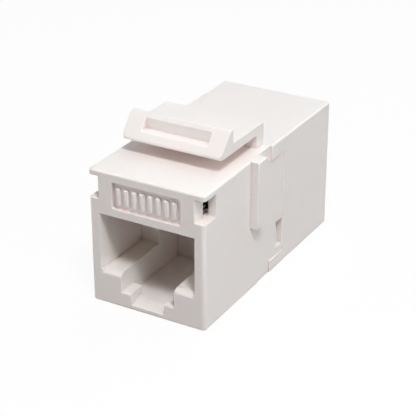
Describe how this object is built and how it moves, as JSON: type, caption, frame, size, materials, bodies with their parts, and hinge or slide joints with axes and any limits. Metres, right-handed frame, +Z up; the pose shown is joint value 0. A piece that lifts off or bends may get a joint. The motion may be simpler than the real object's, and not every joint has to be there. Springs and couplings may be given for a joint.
{
  "type": "rj45 inline coupler",
  "caption": "Keystone-format inline coupler: two shells with a modular socket at each end, a latch arm on top and stop ribs at the sides.",
  "frame": {"origin": "centre of the base, midway between the two sockets' faces", "axes": "+Z up towards the latch, front socket faces -Y, rear socket faces +Y"},
  "size_m": [0.0164, 0.0304, 0.0206],
  "materials": {
    "front_shell": "satin",
    "rear_shell": "satin",
    "carrier": "satin",
    "board": "satin",
    "contact": "gold flashed"
  },
  "bodies": {
    "root": {"front_housing": "front_shell", "rear_housing": "rear_shell", "front_insert": "carrier", "rear_insert": "carrier", "circuit_board": "board", "front_contact_1": "contact", "front_contact_2": "contact", "front_contact_3": "contact", "front_contact_4": "contact", "front_contact_5": "contact", "front_contact_6": "contact", "front_contact_7": "contact", "front_contact_8": "contact", "rear_contact_1": "contact", "rear_contact_2": "contact", "rear_contact_3": "contact", "rear_contact_4": "contact", "rear_contact_5": "contact", "rear_contact_6": "contact", "rear_contact_7": "contact", "rear_contact_8": "contact"}
  },
  "joints": []
}
